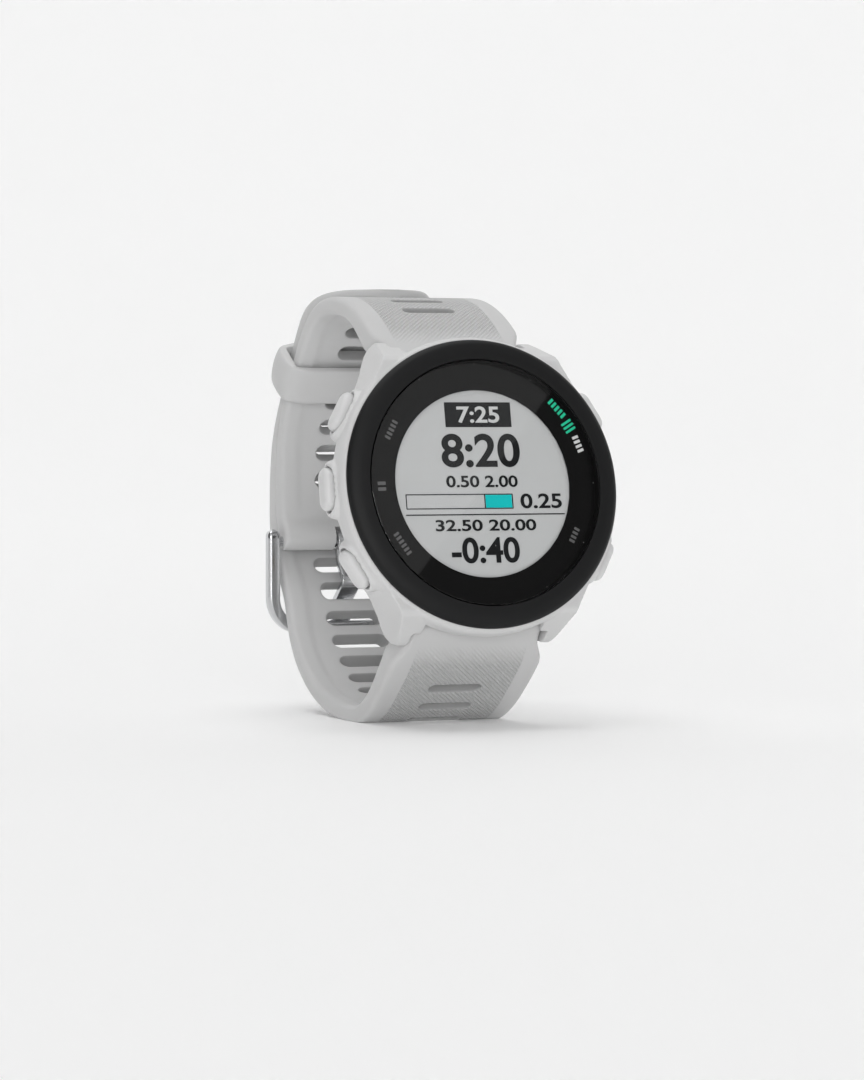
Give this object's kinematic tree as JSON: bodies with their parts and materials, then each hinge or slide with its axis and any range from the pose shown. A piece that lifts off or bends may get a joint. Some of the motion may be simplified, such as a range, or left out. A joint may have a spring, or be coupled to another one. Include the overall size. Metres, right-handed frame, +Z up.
{
  "type": "gps running watch",
  "caption": "Round sports watch with a matte dark bezel, side push buttons and a slotted soft band that is buckled into a loop and stands on its underside.",
  "frame": {"origin": "middle of the flat stretch under the band, on a bridge between two slots, where the watch stands", "axes": "+Z up, the watch face looks towards -Y and leans back 11.07 degrees, +X is towards 3 o'clock"},
  "size_m": [0.044, 0.0611, 0.0618],
  "materials": {
    "lens_glass": "clear polished glass",
    "lens_gasket": "soft black seal",
    "back_gasket": "soft black seal",
    "stem_seal_light": "soft black seal",
    "stem_seal_up": "soft black seal",
    "stem_seal_down": "soft black seal",
    "stem_seal_start": "soft black seal",
    "stem_seal_back": "soft black seal",
    "bezel": "fine matte black",
    "dial_mask": "fine matte black",
    "inner_frame": "fine matte black",
    "buzzer": "fine matte black",
    "charge_port_insert": "fine matte black",
    "display_module": "reflective light grey screen",
    "mid_case": "satin light grey",
    "back_cover": "satin light grey",
    "button_light": "satin light grey",
    "button_up": "satin light grey",
    "button_down": "satin light grey",
    "button_start": "satin light grey",
    "button_back": "satin light grey",
    "sensor_window": "gloss black",
    "main_board": "green circuit board",
    "sensor_board": "green circuit board",
    "gps_antenna": "gold plated",
    "charge_pin_1": "gold plated",
    "charge_pin_2": "gold plated",
    "charge_pin_3": "gold plated",
    "charge_pin_4": "gold plated",
    "battery": "foil pouch",
    "vibration_motor": "plain sheet steel",
    "shield_can": "plain sheet steel",
    "side_switch_light": "plain sheet steel",
    "side_switch_up": "plain sheet steel",
    "side_switch_down": "plain sheet steel",
    "side_switch_start": "plain sheet steel",
    "side_switch_back": "plain sheet steel",
    "stem_clip_light": "spring steel",
    "stem_clip_up": "spring steel",
    "stem_clip_down": "spring steel",
    "stem_clip_start": "spring steel",
    "stem_clip_back": "spring steel",
    "spring_bar_top": "turned stainless steel",
    "spring_bar_bottom": "turned stainless steel",
    "release_pin_top": "turned stainless steel",
    "release_pin_bottom": "turned stainless steel",
    "back_screw_1": "turned stainless steel",
    "back_screw_2": "turned stainless steel",
    "back_screw_3": "turned stainless steel",
    "back_screw_4": "turned stainless steel",
    "buckle_frame": "polished stainless steel",
    "buckle_bar": "polished stainless steel",
    "buckle_tongue": "polished stainless steel",
    "strap_long": "soft light grey silicone",
    "strap_short": "soft light grey silicone",
    "keeper": "soft light grey silicone"
  },
  "bodies": {
    "watch": {"lens_glass": "lens_glass", "lens_gasket": "lens_gasket", "back_gasket": "back_gasket", "stem_seal_light": "stem_seal_light", "stem_seal_up": "stem_seal_up", "stem_seal_down": "stem_seal_down", "stem_seal_start": "stem_seal_start", "stem_seal_back": "stem_seal_back", "bezel": "bezel", "dial_mask": "dial_mask", "inner_frame": "inner_frame", "buzzer": "buzzer", "charge_port_insert": "charge_port_insert", "display_module": "display_module", "mid_case": "mid_case", "back_cover": "back_cover", "sensor_window": "sensor_window", "main_board": "main_board", "sensor_board": "sensor_board", "gps_antenna": "gps_antenna", "charge_pin_1": "charge_pin_1", "charge_pin_2": "charge_pin_2", "charge_pin_3": "charge_pin_3", "charge_pin_4": "charge_pin_4", "battery": "battery", "vibration_motor": "vibration_motor", "shield_can": "shield_can", "side_switch_light": "side_switch_light", "side_switch_up": "side_switch_up", "side_switch_down": "side_switch_down", "side_switch_start": "side_switch_start", "side_switch_back": "side_switch_back", "spring_bar_top": "spring_bar_top", "spring_bar_bottom": "spring_bar_bottom", "back_screw_1": "back_screw_1", "back_screw_2": "back_screw_2", "back_screw_3": "back_screw_3", "back_screw_4": "back_screw_4", "strap_long": "strap_long", "strap_short": "strap_short"},
    "light_button": {"button_light": "button_light", "stem_clip_light": "stem_clip_light"},
    "up_button": {"button_up": "button_up", "stem_clip_up": "stem_clip_up"},
    "down_button": {"button_down": "button_down", "stem_clip_down": "stem_clip_down"},
    "start_button": {"button_start": "button_start", "stem_clip_start": "stem_clip_start"},
    "back_button": {"button_back": "button_back", "stem_clip_back": "stem_clip_back"},
    "top_release": {"release_pin_top": "release_pin_top"},
    "bottom_release": {"release_pin_bottom": "release_pin_bottom"},
    "loop": {"keeper": "keeper"},
    "clasp": {"buckle_frame": "buckle_frame", "buckle_bar": "buckle_bar"},
    "prong": {"buckle_tongue": "buckle_tongue"}
  },
  "joints": [
    {"name": "light_press", "type": "slide", "parent": "watch", "child": "light_button", "axis": [0.866, -0.096, -0.4907], "range_m": [0, 0.0005], "stiffness_N_per_m": 1200, "springref_m": -0.0006},
    {"name": "up_press", "type": "slide", "parent": "watch", "child": "up_button", "axis": [1, 0, 0], "range_m": [0, 0.0005], "stiffness_N_per_m": 1200, "springref_m": -0.0006},
    {"name": "down_press", "type": "slide", "parent": "watch", "child": "down_button", "axis": [0.8572, 0.0989, 0.5055], "range_m": [0, 0.0005], "stiffness_N_per_m": 1200, "springref_m": -0.0006},
    {"name": "start_press", "type": "slide", "parent": "watch", "child": "start_button", "axis": [-0.866, -0.096, -0.4907], "range_m": [0, 0.0005], "stiffness_N_per_m": 1200, "springref_m": -0.0006},
    {"name": "back_press", "type": "slide", "parent": "watch", "child": "back_button", "axis": [-0.8746, 0.0931, 0.4758], "range_m": [0, 0.0005], "stiffness_N_per_m": 1200, "springref_m": -0.0006},
    {"name": "top_release_slide", "type": "slide", "parent": "watch", "child": "top_release", "axis": [-1, 0, 0], "range_m": [0, 0.0012], "stiffness_N_per_m": 800, "springref_m": -0.001},
    {"name": "bottom_release_slide", "type": "slide", "parent": "watch", "child": "bottom_release", "axis": [-1, 0, 0], "range_m": [0, 0.0012], "stiffness_N_per_m": 800, "springref_m": -0.001},
    {"name": "keeper_slide", "type": "slide", "parent": "watch", "child": "loop", "axis": [0, -0.5499, 0.8352], "range_m": [-0.003, 0.0012]},
    {"name": "buckle_hinge", "type": "hinge", "parent": "watch", "child": "clasp", "pos_m": [0, 0.0264, 0.0248], "axis": [1, 0, 0], "range_deg": [-1.5, 2]},
    {"name": "tongue_hinge", "type": "hinge", "parent": "clasp", "child": "prong", "pos_m": [0, 0.0264, 0.0248], "axis": [1, 0, 0], "range_deg": [0, 2.5]}
  ]
}
